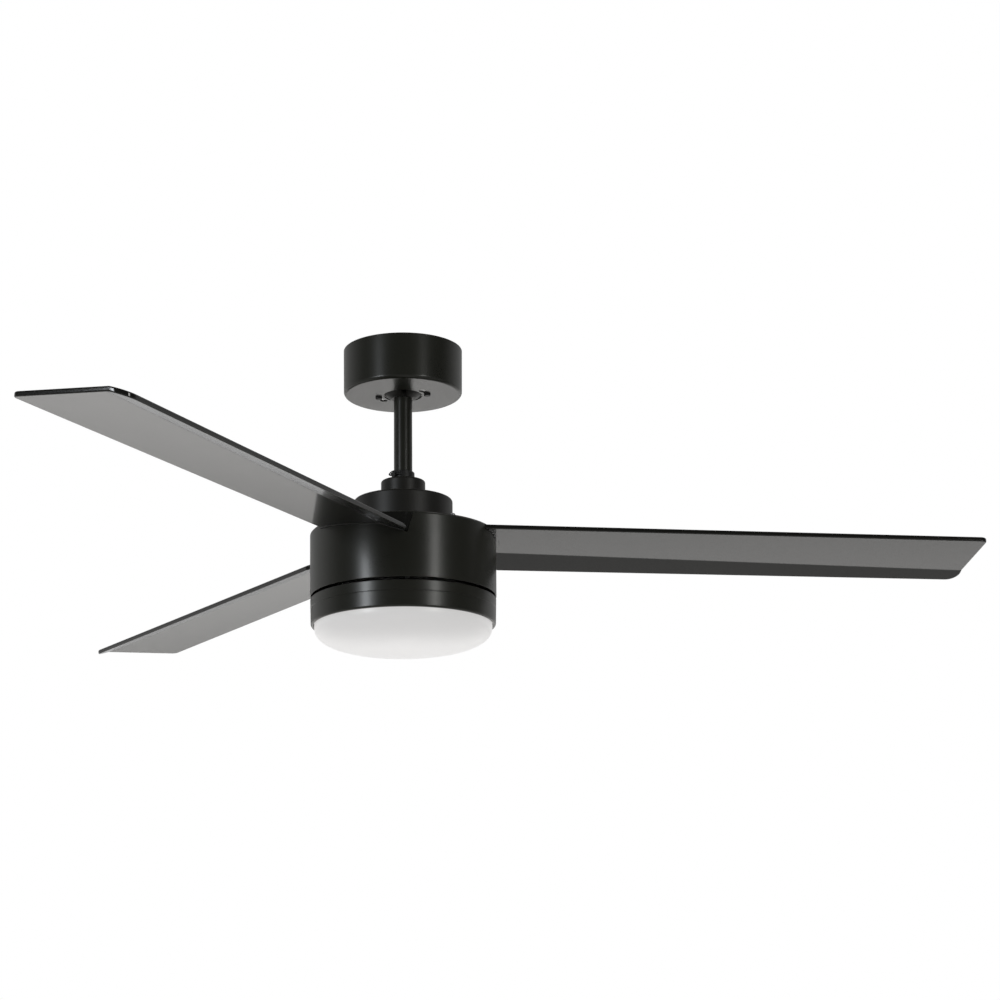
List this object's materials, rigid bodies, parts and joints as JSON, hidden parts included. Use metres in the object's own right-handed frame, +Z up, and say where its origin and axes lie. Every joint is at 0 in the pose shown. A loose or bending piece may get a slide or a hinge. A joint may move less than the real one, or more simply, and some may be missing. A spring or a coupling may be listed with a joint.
{
  "type": "ceiling fan with light",
  "caption": "Drum-bodied ceiling fan on a short downrod, with flat bent-edge blades that turn clockwise and a domed opal LED light below the motor",
  "frame": {"origin": "on the ceiling surface, where the fan's vertical axis meets the top of the mounting bracket", "axes": "+Z up to the ceiling; +X along blade 1; the fan's turning axis is Z"},
  "size_m": [1.0353, 1.1907, 0.3522],
  "materials": {
    "zinc_steel": "zinc-plated pressed steel",
    "black_metal": "satin black powder coat",
    "black_plastic": "black moulded plastic, satin",
    "blade_finish": "satin black moulded blade",
    "screw_steel": "zinc-plated screw steel",
    "spring_steel": "drawn steel",
    "receiver_case": "white moulded case",
    "terminal_plastic": "cream nylon",
    "yoke_iron": "black painted casting",
    "shaft_steel": "ground steel",
    "lamination_steel": "stacked electrical steel",
    "copper_winding": "enamelled copper wire",
    "magnet_ferrite": "sintered ferrite",
    "cast_aluminium": "die-cast aluminium",
    "lead_insulation": "PVC insulation",
    "led_board_white": "white solder mask on aluminium",
    "led_phosphor": "yellow phosphor",
    "opal_diffuser": "opal white acrylic, smooth"
  },
  "bodies": {
    "ceiling_mount": {"canopy": "black_metal", "canopy_screws": "yoke_iron", "earth_screw": "screw_steel", "mounting_bracket": "zinc_steel", "receiver": "receiver_case", "terminal_block": "terminal_plastic", "terminal_screws": "screw_steel"},
    "hanging_assembly": {"ball_pin": "spring_steel", "ball_set_screw": "screw_steel", "clevis_pin": "spring_steel", "coupling_cover": "black_plastic", "coupling_cover_screws": "screw_steel", "downrod": "black_metal", "hairpin_clip": "spring_steel", "hanger_ball": "black_plastic", "heat_spreader": "cast_aluminium", "lead_connector": "receiver_case", "led_board": "led_board_white", "led_board_screws": "screw_steel", "led_chips": "led_phosphor", "led_driver": "receiver_case", "light_kit_plate": "zinc_steel", "light_leads": "lead_insulation", "light_ring": "black_metal", "light_ring_screws": "screw_steel", "lower_bearing_inner_race": "shaft_steel", "motor_leads": "lead_insulation", "motor_shaft": "shaft_steel", "shaft_circlips": "screw_steel", "shaft_nut": "screw_steel", "shaft_spacer": "zinc_steel", "spreader_screws": "screw_steel", "stator_core": "lamination_steel", "stator_windings": "copper_winding", "upper_bearing_inner_race": "shaft_steel", "yoke": "yoke_iron", "yoke_set_screws": "screw_steel"},
    "rotor": {"blade_1": "blade_finish", "blade_2": "blade_finish", "blade_3": "blade_finish", "blade_carrier": "cast_aluminium", "blade_screws": "screw_steel", "blade_washers": "screw_steel", "carrier_screws": "screw_steel", "housing_screws": "screw_steel", "housing_top_cover": "black_metal", "lower_bearing_balls": "shaft_steel", "lower_bearing_outer_race": "shaft_steel", "magnets": "magnet_ferrite", "motor_housing": "black_metal", "rotor_bottom_cover": "black_metal", "rotor_ring": "black_metal", "rotor_screws": "screw_steel", "rotor_top_cover": "black_metal", "top_cover_screws": "screw_steel", "upper_bearing_balls": "shaft_steel", "upper_bearing_outer_race": "shaft_steel"},
    "light_diffuser": {"diffuser": "opal_diffuser"}
  },
  "joints": [
    {"name": "ball_tilt", "type": "hinge", "parent": "ceiling_mount", "child": "hanging_assembly", "pos_m": [0, 0, -0.031], "axis": [1, 0, 0], "range_deg": [-15, 15]},
    {"name": "rotor_spin", "type": "hinge", "parent": "hanging_assembly", "child": "rotor", "pos_m": [0, 0, -0.2615], "axis": [0, 0, 1], "continuous": true},
    {"name": "diffuser_twist", "type": "hinge", "parent": "hanging_assembly", "child": "light_diffuser", "pos_m": [0, 0, -0.3242], "axis": [0, 0, 1], "range_deg": [-20, 0]}
  ]
}
